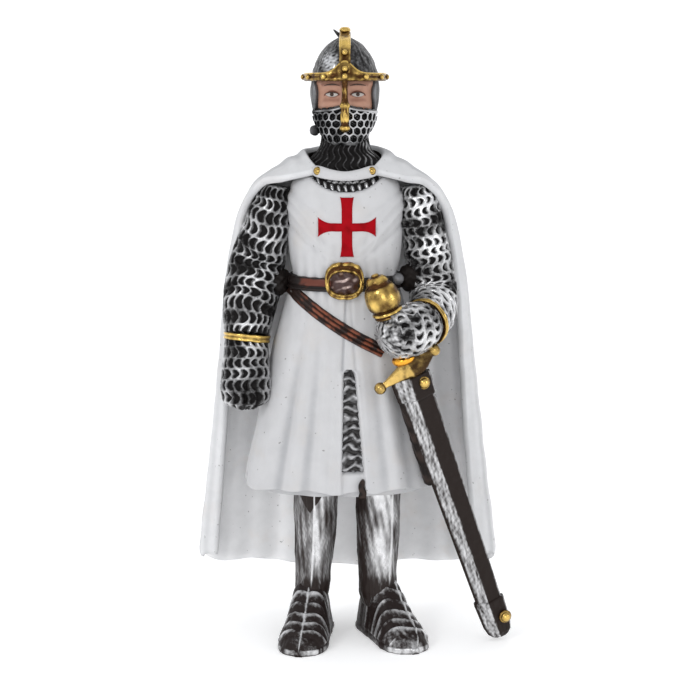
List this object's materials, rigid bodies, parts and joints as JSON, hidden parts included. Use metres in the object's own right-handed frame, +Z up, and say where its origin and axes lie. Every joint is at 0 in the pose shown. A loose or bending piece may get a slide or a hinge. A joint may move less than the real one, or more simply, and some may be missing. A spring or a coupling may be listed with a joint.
{
  "type": "painted miniature figure",
  "caption": "Standing medieval knight figure in mail, surcoat and cloak, one hand on a sheathed sword, cast in pegged pieces and painted.",
  "frame": {"origin": "on the ground, at the middle of the figure's bounding box", "axes": "+Z up; the figure faces -Y; +X is to the knight's own left, which is the viewer's right"},
  "size_m": [0.0481, 0.029, 0.09],
  "materials": {
    "cast_cloth": "matt off-white paint with a thin grey wash in the folds",
    "mail_paint": "black paint, dry-brushed with silver on the raised links",
    "silver_paint": "silver paint dry-brushed over a dark undercoat, semi-gloss",
    "gold_paint": "bright gold paint with an amber-brown wash in the recesses, gloss",
    "skin_paint": "matt skin-tone paint with a reddish wash",
    "red_paint": "satin red paint",
    "belt_paint": "dark brown paint, satin",
    "sling_paint": "red-brown paint with lighter edges, satin",
    "dark_recess": "near-black brown paint, matt",
    "bare_resin": "bare cast resin, hidden"
  },
  "bodies": {
    "root": {"cloak": "cast_cloth", "cloak_strap": "cast_cloth", "cloak_clasps": "gold_paint", "surcoat": "cast_cloth", "under_tunic": "cast_cloth", "hauberk": "mail_paint", "mail_collar": "mail_paint", "chest_cross": "red_paint", "waist_belt": "belt_paint", "belt_buckle": "gold_paint", "belt_stud": "silver_paint", "sword_sling": "sling_paint", "helmet_bowl": "silver_paint", "brow_band": "gold_paint", "crest_band": "gold_paint", "crest_finial": "gold_paint", "helmet_rivets": "gold_paint", "nasal_bar": "gold_paint", "face": "skin_paint", "coif_hood": "silver_paint", "face_veil": "silver_paint", "coif_neck": "mail_paint", "ventail_toggle": "silver_paint", "right_sleeve": "mail_paint", "right_cuff": "gold_paint", "right_mitten": "mail_paint", "left_sleeve": "mail_paint", "left_cuff": "gold_paint", "left_mitten": "mail_paint", "pommel": "gold_paint", "grip": "dark_recess", "grip_collar": "gold_paint", "crossguard": "gold_paint", "sword_tang": "bare_resin", "scabbard": "silver_paint", "scabbard_throat": "silver_paint", "scabbard_web": "dark_recess", "chape": "silver_paint", "scabbard_studs": "gold_paint", "right_greave": "silver_paint", "left_greave": "silver_paint", "right_sabaton": "silver_paint", "left_sabaton": "silver_paint"}
  },
  "joints": []
}
